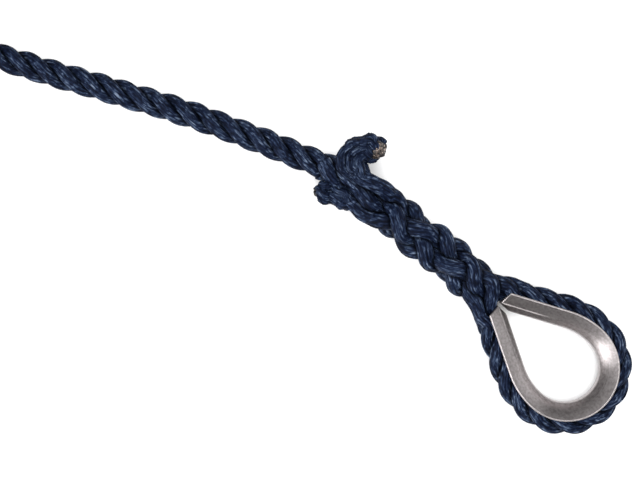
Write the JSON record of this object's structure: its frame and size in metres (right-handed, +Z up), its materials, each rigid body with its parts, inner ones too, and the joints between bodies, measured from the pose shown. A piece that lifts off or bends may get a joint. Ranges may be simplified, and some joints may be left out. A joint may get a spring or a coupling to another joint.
{
  "type": "thimble eye",
  "caption": "Rope eye spliced round a teardrop steel thimble, with the laid rope's free length wound in a coil beside it.",
  "frame": {"origin": "middle of the thimble's bearing face, inside the eye at its crown, at half the thimble's height", "axes": "+X from the crown along the eye's axis to the splice, +Z up from the surface that the eye lies flat on"},
  "size_m": [0.5379, 0.168, 0.0404],
  "materials": {
    "thimble_steel": "satin",
    "rope": "matt laid filament yarns",
    "melted_end": "melted and set",
    "twine": "waxed twine"
  },
  "bodies": {
    "root": {"thimble": "thimble_steel", "strand_1": "rope", "strand_2": "rope", "strand_3": "rope", "tail_seal_1": "melted_end", "tail_seal_2": "melted_end", "tail_seal_3": "melted_end", "rope_lead": "rope", "rope_coil": "rope", "rope_end": "rope", "end_whipping": "twine", "end_seal": "melted_end"}
  },
  "joints": []
}
